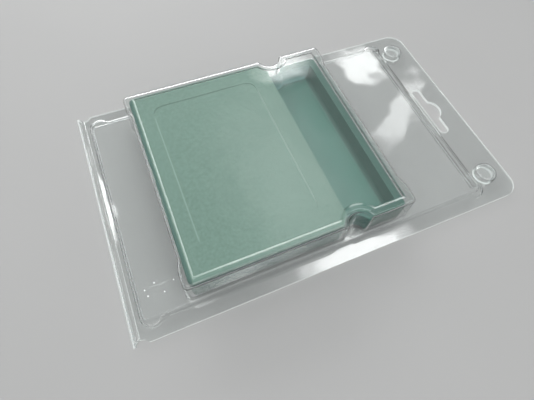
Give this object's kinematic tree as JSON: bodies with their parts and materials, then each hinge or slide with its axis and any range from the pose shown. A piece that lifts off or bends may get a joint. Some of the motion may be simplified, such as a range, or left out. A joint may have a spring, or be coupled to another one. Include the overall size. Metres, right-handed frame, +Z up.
{
  "type": "plastic clamshell pack",
  "caption": "Clear hinged clamshell pack with a product bubble, snap studs and a hang slot, shut round a formed grey-green tray with a flat platform and a deep side pocket.",
  "frame": {"origin": "on the surface that the pack lies on, under the middle of its closed outline", "axes": "+X from the fold to the hang tab, +Y across the pack, +Z up out of the back half through the bubble"},
  "size_m": [0.196, 0.12, 0.019],
  "materials": {
    "clear_sheet": "clear glossy thermoformed sheet",
    "tray_sheet": "satin grey-green thermoformed sheet"
  },
  "bodies": {
    "back": {"back_shell": "clear_sheet", "inner_tray": "tray_sheet", "living_hinge": "clear_sheet"},
    "front": {"front_shell": "clear_sheet"}
  },
  "joints": [
    {"name": "fold", "type": "hinge", "parent": "back", "child": "front", "pos_m": [-0.09825, 0, 0.00065], "axis": [0, -1, 0], "range_deg": [0, 145], "deforming": ["living_hinge"]}
  ]
}
